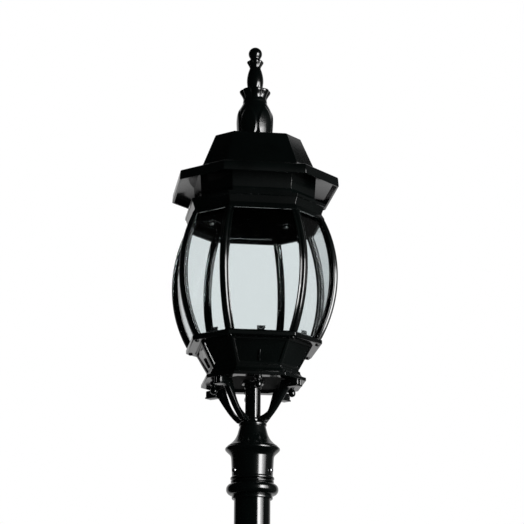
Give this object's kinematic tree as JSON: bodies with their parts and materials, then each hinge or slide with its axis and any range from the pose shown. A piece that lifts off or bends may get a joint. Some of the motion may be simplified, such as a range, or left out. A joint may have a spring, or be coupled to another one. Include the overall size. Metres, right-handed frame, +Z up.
{
  "type": "street lamp post",
  "caption": "Traditional street lamp post: an eight-sided bowed-glass lantern with a turned finial on curved arms, on a round post with a bell base cover.",
  "frame": {"origin": "centre of the base plate underside, on the ground", "axes": "+Z up the post; the wide glass faces look along +X, -X, +Y and -Y, and the front is -Y"},
  "size_m": [0.3, 0.3, 2.3993],
  "materials": {
    "black_paint": "gloss",
    "painted_casting": "gloss paint on a casting",
    "black_iron": "gloss paint",
    "clear_glass": "clear, bent",
    "opal_glass": "opal",
    "screw_steel": "zinc plated",
    "spring_steel": "bright",
    "white_ceramic": "glazed",
    "bright_nickel": "nickel plated",
    "contact_brass": "plain",
    "white_plastic": "moulded",
    "black_rubber": "matte"
  },
  "bodies": {
    "post": {"base_plate": "black_paint", "lower_column": "black_paint", "column_collar": "painted_casting", "collar_screws": "screw_steel", "upper_tube": "black_paint", "post_ring": "painted_casting"},
    "base_cover": {"base_cover": "black_iron", "cover_screws": "screw_steel"},
    "lamp": {"lamp_cap": "bright_nickel", "lamp_bulb": "opal_glass"},
    "roof": {"roof_cap": "painted_casting", "roof_pillars": "painted_casting", "finial": "painted_casting", "finial_stud": "screw_steel", "finial_nut": "screw_steel"},
    "head": {"arm_1": "painted_casting", "arm_2": "painted_casting", "arm_3": "painted_casting", "arm_4": "painted_casting", "arm_screws": "screw_steel", "ball_drops": "painted_casting", "bottom_ring": "painted_casting", "cable_bush": "black_rubber", "cage_rib_1": "painted_casting", "cage_rib_2": "painted_casting", "cage_rib_3": "painted_casting", "cage_rib_4": "painted_casting", "cage_rib_5": "painted_casting", "cage_rib_6": "painted_casting", "cage_rib_7": "painted_casting", "cage_rib_8": "painted_casting", "earth_screw": "contact_brass", "fitter_screws": "screw_steel", "holder_contact": "contact_brass", "holder_sleeve": "contact_brass", "lampholder": "white_ceramic", "lampholder_strip": "spring_steel", "lantern_throat": "painted_casting", "narrow_pane_1": "clear_glass", "narrow_pane_2": "clear_glass", "narrow_pane_3": "clear_glass", "narrow_pane_4": "clear_glass", "pane_clips": "spring_steel", "post_fitter": "painted_casting", "rib_screws_1": "black_paint", "rib_screws_2": "black_paint", "ring_screws": "screw_steel", "roof_screws": "screw_steel", "stem_nuts": "screw_steel", "stem_tube": "black_paint", "strip_screws": "screw_steel", "terminal_block": "white_plastic", "top_ring": "painted_casting", "tray_base": "painted_casting", "tray_body": "painted_casting", "wide_pane_1": "clear_glass", "wide_pane_2": "clear_glass", "wide_pane_3": "clear_glass", "wide_pane_4": "clear_glass"}
  },
  "joints": [
    {"name": "head_swivel", "type": "hinge", "parent": "post", "child": "head", "pos_m": [0, 0, 1.635], "axis": [0, 0, 1], "continuous": true},
    {"name": "roof_lift", "type": "slide", "parent": "head", "child": "roof", "axis": [0, 0, 1], "range_m": [0, 0.12]},
    {"name": "lamp_out", "type": "slide", "parent": "head", "child": "lamp", "axis": [0, 0, 1], "range_m": [0, 0.03]},
    {"name": "cover_lift", "type": "slide", "parent": "post", "child": "base_cover", "axis": [0, 0, 1], "range_m": [0, 0.25]}
  ]
}
